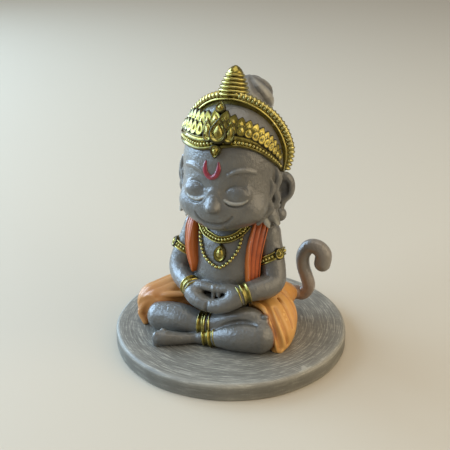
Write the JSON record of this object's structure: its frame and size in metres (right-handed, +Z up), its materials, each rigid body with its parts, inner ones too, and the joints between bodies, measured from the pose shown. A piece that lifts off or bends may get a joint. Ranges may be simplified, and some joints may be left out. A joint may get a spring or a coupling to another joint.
{
  "type": "hanuman figure",
  "caption": "Small seated monkey deity in meditation, with a crown and a curled tail, cast and painted, on a plain round base.",
  "frame": {"origin": "centre of the base's flat underside", "axes": "+Z up through the figure to the tip of its crown, -Y the way the face looks, +X to the figure's left"},
  "size_m": [0.08, 0.08, 0.0952],
  "materials": {
    "grey_resin": "gloss varnish",
    "gold_paint": "metallic",
    "orange_paint": "satin",
    "ochre_paint": "satin",
    "red_paint": "gloss"
  },
  "bodies": {
    "root": {"seated_figure": "grey_resin", "round_base": "grey_resin"}
  },
  "joints": []
}
